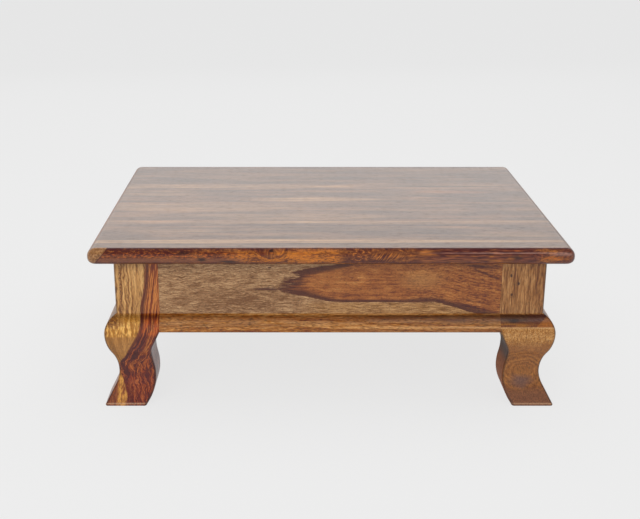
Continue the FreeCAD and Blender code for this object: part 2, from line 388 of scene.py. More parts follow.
class Grain(Enum):
    """The way that a piece's grain runs."""

    ALONG_X = 0
    ALONG_Y = 1
    ALONG_Z = 2


@dataclass(frozen=True)
class Tones:
    """The colours of one plank's heartwood and of its sapwood."""

    vein: Colour = wood(84, 50, 38)
    deep: Colour = wood(116, 70, 48)
    body: Colour = wood(142, 92, 60)
    bright: Colour = wood(168, 114, 72)
    sap_deep: Colour = wood(128, 92, 62)
    sap: Colour = wood(160, 122, 84)
    sap_bright: Colour = wood(188, 150, 106)

    def heart(self, shader: Shader, value: Signal) -> Signal:
        """The heartwood's colour.

        Args:
            shader: The material in the making.
            value: From about 0.35 in a vein to about 0.65 where it is brightest.

        Returns:
            The colour.
        """
        return shader.node("ShaderNodeValToRGB", {"stops": [
            (0.36, self.vein), (0.46, self.deep), (0.54, self.body), (0.65, self.bright),
        ]}, {0: value})

    def sapwood(self, shader: Shader, value: Signal) -> Signal:
        """The sapwood's colour.

        Args:
            shader: The material in the making.
            value: From about 0.38 where it is darkest to about 0.62 where it is brightest.

        Returns:
            The colour.
        """
        return shader.node("ShaderNodeValToRGB", {"stops": [
            (0.38, self.sap_deep), (0.5, self.sap), (0.62, self.sap_bright),
        ]}, {0: value})


@dataclass(frozen=True)
class Growth:
    """How one plank grew: where its pith lies and how its layers run."""

    grain: Grain
    seed: int
    pith: Pair = (90, 160)
    band: float = 9
    line: float = 1.6
    sway: float = 14
    ripple: float = 2.5
    stretch: float = 1

    def axes(self, place: Axes) -> Axes:
        """Turns a place to the plank's own directions.

        Args:
            place: The place along X, Y and Z.

        Returns:
            The place along, across and into the plank.
        """
        x, y, z = place
        turned = {Grain.ALONG_X: (x, y, z), Grain.ALONG_Y: (y, x, z), Grain.ALONG_Z: (z, x, y)}
        return turned[self.grain]


class Plank(Shader):
    """A plank's material in the making, with the spot on the plank and its layers as signals from 0 to 1."""

    def __init__(self, name: str, growth: Growth) -> None:
        """Grows the plank.

        Args:
            name: The material's name.
            growth: How the plank grew.
        """
        super().__init__(name)
        self.spot = self.place()
        along, across, depth = growth.axes(self.spot)
        shift = SEED_STEP * growth.seed
        pull = growth.stretch
        self.cloud = self.noise(along / (190 * pull) + shift, across / 60, depth / 60, 1)
        wave = self.noise(along / (30 * pull), across / 12 + shift, depth / 12, 1)
        aside = across + (self.cloud - 0.5) * growth.sway + (wave - 0.5) * growth.ripple
        inward = depth + (wave - 0.5) * growth.ripple
        rings = self.length(aside - growth.pith[0], inward - growth.pith[1])
        rings = rings + (self.cloud - 0.5) * growth.sway
        self.bands = self.noise(rings / growth.band, along / (420 * pull), shift, 2, 0.55)
        self.lines = self.noise(rings / growth.line, along / (46 * pull), shift + 5, 2, 0.6)
        self.fibre = self.noise(along / 9, aside / 0.55, inward / 0.55 + shift, 1)
        self.dashes = self.noise(along / (5 * pull), aside / 1.25, inward / 1.25 + shift, 1)


@dataclass(frozen=True)
class Sheesham:
    """Satin-lacquered sheesham, from brown and orange heartwood to tan sapwood."""

    name: str
    growth: Growth
    tones: Tones = Tones()
    dash_strength: float = 0.35
    roughness: float = 0.3
    pore_depth: float = 0.0001

    def paint(self, plank: Plank) -> Signal:
        """The wood's colour before its pores and its wear: here a heart with some sapwood bands.

        Args:
            plank: The plank in the making.

        Returns:
            The colour.
        """
        heart = self.tones.heart(plank, plank.bands * 0.6 + plank.lines * 0.4)
        sapwood = self.tones.sapwood(plank, plank.lines)
        sap = (plank.cloud + (plank.bands - 0.5) * 0.5).rise(0.56, 0.6)
        return plank.mix(heart, sapwood, sap * 0.7)

    def shade(self, plank: Plank) -> Signal | float:
        """How much of the colour is left by dark joints and painted shade in the piece's corners."""
        return 1

    def dullness(self, plank: Plank) -> Signal | float:
        """How much rougher the lacquer is in places."""
        return 0

    def dress(self, node: str) -> None:
        """Gives a piece this finish.

        Args:
            node: The name of the piece's node.
        """
        plank = Plank(self.name, self.growth)
        colour = self.paint(plank)
        pores = plank.dashes.rise(0.55, 0.66)
        strength = self.dash_strength
        lift = 1 + (plank.fibre - 0.5) * 0.6 - (plank.dashes - 0.5) * 2 * strength - pores * strength
        # The colour is scaled by shade(), which holds dark joint lines and painted shade.
        colour = plank.scaled(colour, lift * self.shade(plank))
        bump = plank.node("ShaderNodeBump", None, {
            "Strength": 0.2, "Distance": self.pore_depth, "Height": plank.fibre * 0.5 - pores})
        rough = self.roughness + (plank.fibre - 0.5) * 0.1 + pores * 0.08 + self.dullness(plank)
        cover(node, plank.finish(Base_Color=colour, Roughness=rough, Normal=bump))


@dataclass(frozen=True)
class TopWood(Sheesham):
    """A board of the top: brown heartwood with fine, nearly straight lines."""

    pale: tuple[Mark, ...] = ()
    dark: tuple[Mark, ...] = ()
    orange: tuple[Mark, ...] = ()
    lift: float = 1
    drift: float = 0.3
    seam: float = 0.8
    rim_start: Pair = (7, 4)
    rim: Tones = Tones(
        vein=wood(78, 48, 38), deep=wood(104, 64, 46), body=wood(128, 82, 54), bright=wood(160, 106, 64))

    @staticmethod
    def patches(plank: Plank, streaks: tuple[Mark, ...]) -> Signal:
        """One mask of several streaks, with edges that wander a little."""
        x, y, _ = plank.spot
        return plank.marks(x, y + (plank.cloud - 0.5) * 12 + (plank.lines - 0.5) * 3, *streaks)

    def paint(self, plank: Plank) -> Signal:
        """Fine lines with their pale, dark and orange streaks.

        Args:
            plank: The plank in the making.

        Returns:
            The board's colour.
        """
        x, y, _ = plank.spot
        tones = self.tones
        patch = plank.noise(x / 85, (y + (plank.cloud - 0.5) * 12) / 17, 3.7 * self.growth.seed, 1) - 0.5
        fine = (plank.lines - 0.5) * 0.22 + (plank.bands - 0.5) * 0.22
        colour = tones.heart(plank, 0.5 + fine + patch * self.drift)
        if self.pale:
            sapwood = tones.sapwood(plank, plank.lines)
            colour = plank.mix(colour, sapwood, self.patches(plank, self.pale))
        if self.orange:
            colour = plank.mix(colour, srgb(150, 100, 66), self.patches(plank, self.orange))
        if self.dark:
            colour = plank.mix(colour, tones.vein, self.patches(plank, self.dark))
        side = self.rim.heart(plank, plank.bands * 0.6 + plank.lines * 0.4)
        start, full = self.rim_start
        ends = abs(x).rise(TABLE.half_length - start, TABLE.half_length - full)
        outside = ends.most(y.rise(TABLE.half_depth - start, TABLE.half_depth - full))
        return plank.mix(plank.scaled(colour, self.lift), side, outside)

    def shade(self, plank: Plank) -> Signal | float:
        """A thin line of glue and wax at each seam, and darker round the two ends.

        Args:
            plank: The plank in the making.

        Returns:
            The share of the colour that is left.
        """
        x, y, z = plank.spot
        seam = abs(y).near(TABLE.board_half, self.seam).most(abs(y).near(0, self.seam))
        ends = abs(x).rise(TABLE.half_length - 4.5, TABLE.half_length - 0.5)
        return 1 - seam * z.rise(TABLE.height - 2, TABLE.height) * 0.4 - ends * 0.12


@dataclass(frozen=True)
class FrontBoardWood(TopWood):
    """The front board: a red-brown edge with flames, a knot and a sapwood corner."""

    flame: Tones = Tones(
        vein=wood(82, 52, 42), deep=wood(106, 66, 46), body=wood(132, 84, 54), bright=wood(168, 104, 58))
    cap: Tones = Tones(sap_deep=wood(108, 74, 52), sap=wood(136, 98, 68), sap_bright=wood(164, 124, 86))
    knot: Pair = (-75, 216)
    knot_width: float = 1.6
    cap_end: Pair = (-283, 218)
    round_start: Pair = (-216.4, -217.8)
    hatch: Mark = Mark((71, 211), (30, 9), 0.6)
    embers: tuple[Mark, ...] = (Mark((281, 209.5), (26, 4.5), 0.7), Mark((228, 217), (18, 2.6), 0.7))
    blots: tuple[Mark, ...] = (
        Mark((-75, 217.9), (3.6, 1.8)), Mark((-162, 207.8), (9, 4.2), 0.8),
        Mark((-128, 204.8), (20, 2.6), 0.8), Mark((232, 211), (10, 5), 0.9, 0.8),
        Mark((-186, 215.5), (15, 4), 0.9, 0.8))

    def paint(self, plank: Plank) -> Signal:
        """The top's lines and, from the rounded edge down, the flames."""
        return plank.mix(TopWood.paint(self, plank), self._edge(plank), plank.spot[1].rise(*self.round_start))

    def _edge(self, plank: Plank) -> Signal:
        """The front edge's own figure: x runs along it and z up it.

        Args:
            plank: The plank in the making.

        Returns:
            The edge's colour.
        """
        x, _, z = plank.spot
        from_knot = plank.length((x - self.knot[0]) / self.knot_width, z - self.knot[1])
        pull = from_knot.rise(15, 1)
        flow = z - (z - self.knot[1]) * pull * 0.8 + pull * from_knot * 1.4 + (plank.cloud - 0.5) * 14
        flecks = plank.noise(x / 4.2, flow / 1.7, 3, 3, 0.7)
        slants = plank.noise((x - z * 0.8) / 1.15, z / 9, 6, 1).rise(0.4, 0.6)
        flecks = flecks + (slants * 0.3 + 0.34 - flecks) * plank.marks(x, z, self.hatch)
        streaked = plank.noise(x / 22, z / 1.5, 9, 2, 0.65)
        flecks = flecks + (streaked - flecks) * x.rise(90, 120) * x.rise(262, 240)
        patches = plank.noise(x / 26, flow / 7, 8, 2, 0.6)
        ember = plank.marks(x, z, *self.embers)
        middle = z.near(214.5, 5.5) * 0.03 - z.rise(208, 205) * 0.06 - z.rise(217.2, 219.2) * 0.05
        ends = x.near(-26, 74) * 0.1 - x.rise(60, 120) * 0.03 - x.rise(-95, -130) * 0.03
        value = 0.5 + (flecks - 0.5) * 0.75 + (patches - 0.5) * 0.5 + ends + middle + ember * 0.08
        glint = (x.rise(-95, -125) * z.near(213, 5.5)).most(ember) * flecks.rise(0.5, 0.64)
        golden = x.rise(-155, -85) * x.rise(15, 3) * patches.rise(0.38, 0.52) * flecks.rise(0.42, 0.52)
        veins = plank.noise(x / 16, flow / 1.5, 12, 2, 0.6).rise(0.52, 0.6) * z.rise(207, 213)
        maroon = x.rise(95, 150) * (1 - ember) * patches.rise(0.62, 0.48)
        colour = plank.layers(
            self.flame.heart(plank, value),
            (wood(176, 88, 50), glint * 0.75),
            (wood(188, 114, 50), golden * z.rise(203, 206) * z.rise(220, 214) * 0.75),
            (wood(112, 62, 40), veins * x.rise(-150, -120) * x.rise(20, 0) * 0.55),
            (plank.mix(wood(74, 44, 38), wood(124, 76, 60), flecks.rise(0.38, 0.62)), maroon * 0.9))
        return self._cap(plank, self._marks(plank, self._shadows(plank, colour, flecks), flecks))

    @staticmethod
    def _shadows(plank: Plank, colour: Signal, flecks: Signal) -> Signal:
        """The darker upper line of both ends, the shadow past the golden part, and a lighter foot.

        Args:
            plank: The plank in the making.
            colour: The edge's colour so far.
            flecks: Its flecks.

        Returns:
            The colour with these laid on.
        """
        x, _, z = plank.spot
        ends = x.rise(-165, -182).most(x.rise(115, 145) * x.rise(262, 245)) * z.rise(211.5, 214)
        middle = x.near(36, 34) * z.rise(202, 206)
        foot = z.near(207, 4) * x.near(145, 70) * flecks.rise(0.4, 0.56)
        lower = x.rise(-95, -120) * z.rise(210.5, 208.5) * z.rise(203, 205.5)
        return plank.layers(
            colour,
            (wood(80, 50, 42), ends.most(middle * 0.9) * flecks.rise(0.64, 0.5) * 0.85),
            (wood(84, 54, 42), x.near(-252, 32) * z.rise(205.5, 203) * 0.7),
            (wood(144, 90, 62), foot * 0.7),
            (wood(134, 90, 70), lower * (0.25 + flecks * 0.5)))

    def _marks(self, plank: Plank, colour: Signal, flecks: Signal) -> Signal:
        """The knot, dark blotches, a painted dark reflection along the top of the round, and a painted
        highlight line along the right half and at the right end.

        Args:
            plank: The plank in the making.
            colour: The edge's colour so far.
            flecks: Its flecks.

        Returns:
            The colour with these laid on.
        """
        x, y, z = plank.spot
        # Painted highlight: a pale line along the round's right half, brightest at the right end.
        edge_highlight = z.near(215.6, 1.1) * x.rise(100, 200) * 0.8
        tip = z.near(214.5, 3.4) * x.rise(262, 290)
        return plank.layers(
            colour,
            (wood(60, 42, 38), plank.marks(x, z, *self.blots) * 0.9),
            # Painted dark reflection where the edge starts to round over.
            (wood(78, 44, 34), y.near(-219.5, 2.8) * 0.75),
            (wood(186, 146, 132), edge_highlight.most(tip) * y.rise(-225, -226.2) * (0.15 + flecks * 0.45)))

    def _cap(self, plank: Plank, colour: Signal) -> Signal:
        """The sapwood that is left at the front left corner, with its dark border.

        Args:
            plank: The plank in the making.
            colour: The edge's colour so far.

        Returns:
            The colour with these laid on.
        """
        x, y, z = plank.spot
        end = x + (self.cap_end[1] - z) * 0.9 - self.cap_end[0]
        grain = self.cap.sapwood(plank, plank.noise(x / 2.6, y / 2.6, z / 1.8, 3, 0.75))
        return plank.layers(colour, (grain, end.rise(0.5, -0.5)), (self.flame.vein, end.near(0.8, 2) * 0.8))


@dataclass(frozen=True)
class ApronWood(Sheesham):
    """The front apron: grey-tan sapwood with a tongue of orange-brown heartwood."""

    tip: Pair = (-66, 159)
    upper: tuple[Pair, ...] = (
        (-66, 162), (-60, 172), (-51, 179), (-38, 184), (-19, 188.2), (6, 191.4), (30, 195.4), (60, 206),
        (230, 212))
    lower: tuple[Pair, ...] = (
        (-66, 158), (-60, 153.6), (-51, 151.6), (-30, 148), (2, 141), (42, 140.4), (118, 140.2), (134, 140.3),
        (154, 135.3), (187, 125.6), (230, 118))
    orange: Mark = Mark((10, 167), (62, 18), 1)
    golden: Mark = Mark((118, 171), (44, 20), 1)
    shaded: Mark = Mark((-118, 142), (104, 23), 1)
    strands: Mark = Mark((-78, 158.5), (30, 5), 0.9)
    bars: tuple[Mark, ...] = (
        Mark((202, 178), (30, 2.6), 0.8, turn=-24), Mark((192, 189), (42, 3.4), 0.9, turn=-5),
        Mark((178, 135), (26, 3), 0.8, turn=-13), Mark((186, 141.5), (24, 1.8), 0.8, 0.8, -10),
        Mark((-4, 163), (8, 4), 0.9, 0.5, -20), Mark((-82, 158.5), (24, 1.7), 0.8))
    dot: Mark = Mark((-78, 187.4), (3.2, 1.5))

    def paint(self, plank: Plank) -> Signal:
        """Sapwood all over, and inside two drawn curves the heart with its dark outline.

        Args:
            plank: The plank in the making.

        Returns:
            The apron's colour.
        """
        x, y, z = plank.spot
        spread, reach = (self.tip[0], 230), (110, 215)
        feather = plank.noise(x / 30, z / 1.6, 3, 3, 0.6) - 0.5
        above = plank.curve(x, spread, self.upper, reach) - z
        below = z - plank.curve(x, spread, self.lower, reach)
        tip = (x - self.tip[0] + feather * 110 - abs(z - self.tip[1]) * 0.7) * 0.35
        inside = above.least(below) + feather * (3.5 + 9 * x.rise(10, -50))
        inside = inside.least(tip) - y.rise(-198, -184) * 30
        mottle = plank.noise(x / 16, z / 8, 5, 2, 0.6)
        ripple = plank.noise(x / 5.5, (z + (plank.cloud - 0.5) * 10) / 1.3, 11, 2, 0.6) - 0.5
        flow = plank.noise(below.least(tip) / 2.6, x / 70, 8, 2, 0.6)
        grain = plank.lines * 0.25 + flow * 0.35 + mottle * 0.25 + plank.bands * 0.15
        grain = grain + ripple * x.rise(70, 120) * 0.44 - x.rise(170, 215) * 0.02
        heart = self.tones.heart(plank, grain + plank.marks(x, z, self.orange) * 0.06)
        heart = plank.mix(heart, wood(172, 124, 78), plank.marks(x, z, self.golden) * 0.6)
        width = 5 + 7 * x.rise(30, -40) + 6 * above.rise(14, 2) * x.rise(40, 0) + 4.5 * x.rise(90, 130)
        outline = inside.rise(-0.5, 0.5) * (inside / width).rise(1, 0.3) * (0.7 + plank.lines * 0.4)
        strands = plank.marks(x, z, self.strands) * feather.rise(0.02, 0.1)
        bars = plank.marks(x, z + feather * 9, *self.bars).most(plank.marks(x, z, self.dot))
        return plank.layers(
            self._tan(plank, mottle * 0.3 + ripple * 0.4),
            (heart, inside.rise(-0.5, 0.5)),
            (wood(72, 44, 38), outline.most(strands) * 0.9),
            (wood(78, 46, 40), bars * 0.85))

    def _tan(self, plank: Plank, uneven: Signal) -> Signal:
        """The sapwood, warmer below the tongue.

        Args:
            plank: The plank in the making.
            uneven: What is added to its growth lines.

        Returns:
            Its colour.
        """
        x, _, z = plank.spot
        shaded = plank.marks(x, z, self.shaded) * 0.1 - x.near(20, 70) * 0.03
        tan = self.tones.sapwood(plank, plank.lines * 0.7 + uneven - shaded)
        warm = plank.mix(wood(130, 88, 44), wood(186, 138, 82), plank.lines.rise(0.36, 0.64))
        return plank.mix(tan, warm, x.rise(-50, 0) * z.rise(144, 136) * 0.5)

    def shade(self, plank: Plank) -> Signal | float:
        """Painted shadow under the top, and a dark joint line at both posts.

        Args:
            plank: The plank in the making.

        Returns:
            The share of the colour that is left.
        """
        x, _, z = plank.spot
        # Painted shadow: darker just under the top's overhang.
        high = z.rise(TABLE.under_top - 2.5, TABLE.under_top - 0.5) * 0.4
        inner_post = TABLE.post_x - TABLE.post
        return 1 - high - abs(x).rise(inner_post - 1.2, inner_post) * 0.25


@dataclass(frozen=True)
class KneeWood(Sheesham):
    """Wood with painted shade under the shoulder line, as on the legs and the mouldings."""

    def shade(self, plank: Plank) -> Signal | float:
        """Painted shade under the shoulder, with its darkest line near the top.

        Args:
            plank: The plank in the making.

        Returns:
            The share of the colour that is left.
        """
        z, top = plank.spot[2], TABLE.shoulder
        # Painted shade in the crease under the shoulder.
        shoulder_shade = z.rise(top - 7, top - 3) * 0.14 + z.rise(top - 5.5, top - 2) * 0.2
        return 1 - z.rise(top - 0.6, top - 2) * shoulder_shade


@dataclass(frozen=True)
class MouldingWood(KneeWood):
    """The front moulding, whose right half has a painted highlight along a ridge below a slope darkened with
    painted shade.
    """

    corner: Pair = (123.8, 122.4)
    ridge: Pair = (110, 2.4)

    def paint(self, plank: Plank) -> Signal:
        """Golden brown streaks, a painted highlight band, the dark slope over them with painted shade, its
        lighter top corner, and a painted highlight along the ridge.

        Args:
            plank: The plank in the making.

        Returns:
            The moulding's colour.
        """
        x, _, z = plank.spot
        fine = plank.noise(x / 9, z / 0.9, 6, 2, 0.6) - 0.5
        patchy = plank.noise(x / 30, z / 4, 4, 2)
        under_corner = z.rise(*self.corner)
        slope = z.rise(115.5 - x.rise(80, 200) * 4, 120.5 - x.rise(80, 180) * 2) * x.rise(15, 70)
        slope = slope * (0.75 + x.rise(80, 150) * 0.3) * under_corner.most(x.rise(120, 215) * 0.8)
        below = z.rise(108.6, 107.2) * x.rise(-20, 30)
        return plank.layers(
            self.tones.heart(plank, plank.bands * 0.45 + plank.lines * 0.55 + fine * 0.55),
            # Painted highlight: a pale band round the middle of the slope.
            (wood(178, 134, 96), z.near(116, 6) * patchy.rise(0.3, 0.6) * 0.55),
            # Painted shade under the shoulder.
            (wood(120, 62, 16), z.rise(116.5, 120.5) * under_corner * 0.36),
            (wood(196, 146, 96), (1 - under_corner) * x.rise(-20, 20) * x.rise(150, 90) * 0.6),
            # Painted shade: the darker slope on the right half.
            (wood(72, 32, 4), slope * (0.12 + patchy * 0.8)),
            (wood(118, 76, 42), z.near(112, 3.5) * x.rise(-20, -60) * 0.4),
            (wood(108, 64, 36), below * (0.15 + patchy * 0.7)),
            # Painted highlight along the ridge.
            (wood(198, 154, 112), z.near(*self.ridge) * x.rise(-20, 150) * (0.25 + patchy * 0.6)))


@dataclass(frozen=True)
class LegWood(KneeWood):
    """A leg's wood, darker along its rounded edges and with painted shade under the shoulder."""

    edge: float = 0.5
    foot_highlight: Pair = (3.4, 1.5)

    def shade(self, plank: Plank) -> Signal | float:
        """Painted shade under the shoulder, and darker rounded edges."""
        return KneeWood.shade(self, plank) * (1 - plank.corner() * self.edge)

    def foot_line(self, plank: Plank, colour: Signal) -> Signal:
        """A painted highlight: a pale line just over the bottom of the foot."""
        return plank.mix(colour, wood(196, 156, 124), plank.spot[2].near(*self.foot_highlight) * 0.55)


@dataclass(frozen=True)
class SplitLegWood(LegWood):
    """The front left leg: tan sapwood outside, and heartwood inside, striped along their border."""

    border: tuple[Pair, ...] = (
        (0, -266), (13.6, -267.4), (26.3, -270.6), (41.9, -276), (50, -278), (58.5, -274.6), (65, -269),
        (79.3, -261.3), (93.5, -253), (104, -247.8), (113.6, -245.2), (126.3, -246), (157.4, -240.9),
        (191.5, -236.9), (200, -235.5))
    flow: tuple[Pair, ...] = (
        (0, -277), (30, -279), (52, -277), (65, -268.2), (79.3, -259.3), (93.5, -251), (104, -247),
        (126.3, -246), (157.4, -240.9), (200, -235.5))
    stain: Mark = Mark((-283, 116.5), (21, 12), 0.9)
    foot_border: float = -280
    fan: Pair = (-270, 46)

    def paint(self, plank: Plank) -> Signal:
        """The two woods with a dark vein along their border, and a golden streak on the foot.

        Args:
            plank: The plank in the making.

        Returns:
            The leg's colour.
        """
        x, y, z = plank.spot
        height, reach = (0, TABLE.under_top), (-300, -230)
        behind = (y + TABLE.post_y).most(0)
        wander = (plank.cloud - 0.5) * 3
        past = x - plank.curve(z, height, self.border, reach) + wander + behind * 0.15
        swirl = plank.noise(z / 15, x / 10, 6, 1) - 0.5
        guide = x - plank.curve(z, height, self.flow, reach) + behind * 0.9 + wander
        columns = plank.noise((x + behind * 0.9 + swirl * 8) / 2.6, z / 70, 2, 2, 0.5)
        left = x - self.foot_border + swirl * 4
        low = z.rise(58, 50)
        mottled = plank.noise((x - z * 0.3) / 4.5, z / 9, 5, 1) * 0.65 + columns * 0.35
        golden = (past + swirl * 3).rise(0.8, -0.8) * left.rise(-1, 1) * low
        colour = plank.layers(
            self._stripes(plank, guide, swirl),
            (self._sap(plank, columns), past.rise(0.5, -0.5) * z.rise(53, 57)),
            (self.tones.vein, past.near(2.4, 4.8) * z.rise(50, 60) * 0.85),
            (wood(84, 44, 26), past.near(4.5, 5.5) * low * 0.5),
            (plank.mix(wood(124, 72, 28), wood(200, 142, 70), mottled.rise(0.38, 0.6)), golden * 0.95),
            (plank.mix(wood(102, 58, 40), wood(142, 86, 56), columns.rise(0.4, 0.6)),
             left.rise(1, -1) * low * 0.85))
        return self.foot_line(plank, colour)

    def _stripes(self, plank: Plank, past: Signal, swirl: Signal) -> Signal:
        """The heart's stripes, which follow the border and turn wavy below the knee.

        Args:
            plank: The plank in the making.
            past: How far to the right of the border a spot lies.
            swirl: A slow waver.

        Returns:
            The heart's colour.
        """
        x, _, z = plank.spot
        low = z.rise(100, 60)
        wiggle = plank.noise(z / 5, x / 7, 8, 1) - 0.5
        bent = past + swirl * (2 + 8 * low) + wiggle * (1 + 6 * low)
        straight = plank.noise(bent / 1.9, z / 55, 4, 1, 0.5)
        curls = plank.noise((bent + z * 0.2) / 2.4, (z - x * 0.4) / 20, 2, 2, 0.6)
        stripes = (straight + (curls - straight) * low * 0.7).rise(0.4, 0.6) - 0.5
        fine = plank.noise(bent / 0.9, z / 12, 7, 1) - 0.5
        broad = plank.noise(bent / 7, z / 110, 9, 1) - 0.5
        light = z.rise(119, 129) * 0.1 - z.rise(112, 90) * 0.01
        knee = z.rise(96, 104) * z.rise(121, 116)
        beside = past.near(8, 6) * z.rise(54, 64) * z.rise(110, 98)
        pale = past.near(23, 13) * z.near(81, 19) - x.near(-262, 8) * z.near(35, 12)
        value = 0.49 + stripes * (0.18 + low * 0.06) + fine * 0.2 + broad * 0.2 + light
        return plank.layers(
            self.tones.heart(plank, value + knee * 0.05 - beside * 0.06 + pale * 0.1),
            (wood(118, 56, 20), z.rise(54, 24) * 0.35),
            (wood(198, 96, 40), knee * swirl.rise(-0.06, 0.08) * 0.4),
            (wood(158, 76, 42), low * stripes.rise(0.1, 0.5) * 0.4))

    def _sap(self, plank: Plank, columns: Signal) -> Signal:
        """Tan sapwood with chains of dark dashes, golden on the knee, with painted shadow under the top.

        Args:
            plank: The plank in the making.
            columns: Its upright lines.

        Returns:
            The sapwood's colour.
        """
        x, _, z = plank.spot
        gold = z.rise(97, 99.5) * z.rise(119, 113)
        blobs = columns * 0.5 + plank.noise(x / 3.4, z / 7, 9, 1) * 0.5
        fan = (x - self.fan[0]) / (z - self.fan[1]).most(5)
        curved = plank.noise(fan * 9, z / 50, 8, 1).rise(0.35, 0.65)
        blots = plank.noise(x / 2.6, z / 2.2, 3, 2, 0.7)
        stain = plank.marks(x, z, self.stain) * blots.rise(0.36, 0.5)
        links = plank.noise(x / 1.3, z / 2.6, 7, 1).rise(0.42, 0.54)
        chain = x.near(-270.5, 2.4).most(x.near(-262, 1.6) * 0.6) * links * z.rise(118, 126)
        flecks = columns.near(0.43, 0.07) * plank.dashes.rise(0.46, 0.54) * z.rise(110, 126)
        sapwood = plank.layers(
            self.tones.sapwood(plank, columns * 0.8 + plank.lines * 0.2),
            (wood(190, 132, 58), z.rise(125, 120) * z.rise(88, 98) * 0.55),
            (wood(232, 180, 100), gold * blobs.rise(0.46, 0.58) * 0.8),
            (wood(150, 100, 48), gold * blobs.rise(0.46, 0.38) * 0.6),
            (plank.mix(wood(132, 90, 52), wood(174, 124, 72), curved), z.rise(98.5, 95) * 0.85),
            (wood(92, 58, 42), stain.most(chain).most(flecks * 0.85) * 0.8))
        # Painted shadow: darker toward the underside of the top.
        return plank.scaled(sapwood, 1 - z.rise(TABLE.under_top - 18, TABLE.under_top - 7) * 0.2)


@dataclass(frozen=True)
class GoldenLegWood(LegWood):
    """The front right leg: golden brown, with specks, a painted highlight along a ridge and rings round the
    ankle.
    """

    specks: tuple[Mark, ...] = (
        Mark((233, 176.5), (1.9, 3.4), 0.6), Mark((243, 165.6), (2.1, 3), 0.6),
        Mark((234.8, 150.5), (2, 2.8), 0.6))
    grey: Mark = Mark((254, 30), (24, 13), 0.9)
    smear: Mark = Mark((238, 117.5), (11, 3.4), 0.8)
    ridge: Pair = (109.2, 1.7)
    ring_middle: Pair = (256, 43)
    ring_width: float = 1.25
    ring_step: float = 5.8

    def paint(self, plank: Plank) -> Signal:
        """Golden brown that turns browner to the foot.

        Args:
            plank: The plank in the making.

        Returns:
            The leg's colour.
        """
        x, y, z = plank.spot
        streaks = plank.noise(x / 1.3, y / 1.3, z / 13, 2, 0.6) - 0.5
        heart = self.tones.heart(plank, 0.17 + plank.bands * 0.2 + plank.lines * 0.5 + streaks * 0.4)
        speckle = plank.noise(x / 1.5, y / 1.5, z / 1.5, 2, 0.6)
        pitted = plank.noise(x / 2.8, y / 2.8, z / 2.2, 2, 0.65)
        soft = plank.noise(x / 18, y / 18, z / 9, 2)
        glints = speckle * 0.9 - 0.225 + z.near(99, 6) * 0.04
        sapwood = self.tones.sapwood(plank, plank.lines * 0.25 + glints + soft * 0.3)
        brown = plank.mix(wood(120, 76, 44), wood(166, 112, 64), self._rings(plank, soft))
        brown = plank.mix(brown, wood(118, 76, 56), z.rise(34, 10) * 0.7)
        brown = plank.scaled(brown, 1 + (speckle - 0.5) * 1.1 + (pitted - 0.5) * 1.1)
        brown = plank.mix(brown, wood(86, 54, 38), pitted.rise(0.6, 0.68) * z.near(48, 16) * 0.6)
        greyed = plank.scaled(wood(110, 84, 77), 1 + (speckle - 0.5) * 0.9 + (pitted - 0.5) * 0.9)
        grey = plank.marks(x, z + (soft - 0.5) * 12, self.grey).most(z.rise(30, 14) * 0.45)
        colour = plank.layers(
            heart,
            (sapwood, z.rise(70, 94) * z.rise(111, 109) * 0.9),
            (brown, z.rise(94, 74) * 0.95),
            (greyed, grey * 0.85),
            (heart, z.rise(0.8, 0.2) * 0.8))
        # The inner face: orange low down, and painted shade higher up, under the table.
        inner = plank.mix(wood(144, 84, 42), wood(58, 44, 38), z.rise(46, 70))
        return self.foot_line(plank, plank.layers(
            self._knee(plank, colour, speckle),
            (wood(62, 42, 36), plank.marks(x, z, *self.specks) * y.rise(-196, -199) * 0.9),
            (inner, plank.facing(-1) * z.rise(103, 98) * 0.85)))

    def shade(self, plank: Plank) -> Signal | float:
        """As on any leg, and a little darker over the shoulder and lighter below the top.

        Args:
            plank: The plank in the making.

        Returns:
            The share of the colour that is left.
        """
        z, shoulder = plank.spot[2], TABLE.shoulder
        over = z.rise(shoulder, shoulder + 1) * z.rise(shoulder + 12, shoulder + 3)
        under = z.rise(178, 183) * z.rise(192, 187)
        return LegWood.shade(self, plank) * (1 - over * 0.1 + under * 0.1)

    def dullness(self, plank: Plank) -> Signal | float:
        """The inner face was polished less."""
        return plank.facing(-1) * 0.35

    def _rings(self, plank: Plank, soft: Signal) -> Signal:
        """Long rings round the ankle, where the curve of the leg cuts through the layers.

        Args:
            plank: The plank in the making.
            soft: Soft noise that bends the rings.

        Returns:
            The rings, from 0 to 1.
        """
        x, _, z = plank.spot
        reach = plank.length((x - self.ring_middle[0]) / self.ring_width, z - self.ring_middle[1])
        rings = ((reach + (soft - 0.5) * 14) * (2 * math.pi / self.ring_step)).swing()
        return 0.5 + rings * 0.28 * reach.rise(3, 12) * reach.rise(42, 24) + (soft - 0.5) * 0.8

    def _knee(self, plank: Plank, colour: Signal, speckle: Signal) -> Signal:
        """The brown slope over the knee with painted shade toward the shoulder, its smear, an orange corner
        and a painted highlight along the ridge.

        Args:
            plank: The plank in the making.
            colour: The leg's colour so far.
            speckle: Its speckles.

        Returns:
            The colour with these laid on.
        """
        x, _, z = plank.spot
        slope = z.rise(109.9, 110.7) * z.rise(TABLE.shoulder - 0.1, TABLE.shoulder - 1.3)
        streaks = plank.noise(x / 22, z / 2.2, 5, 2, 0.6).rise(0.4, 0.6)
        slant = plank.mix(wood(104, 62, 34), wood(146, 96, 54), streaks)
        # Painted shade: the slope darkens toward the shoulder.
        slant = plank.mix(slant, wood(66, 30, 2), z.rise(113, 118) * 0.85)
        corner = ((x - 262) * 0.8 - (z - 108)).rise(0, 3) * x.rise(262, 264)
        smear = plank.marks(x, z + (plank.lines - 0.5) * 3, self.smear)
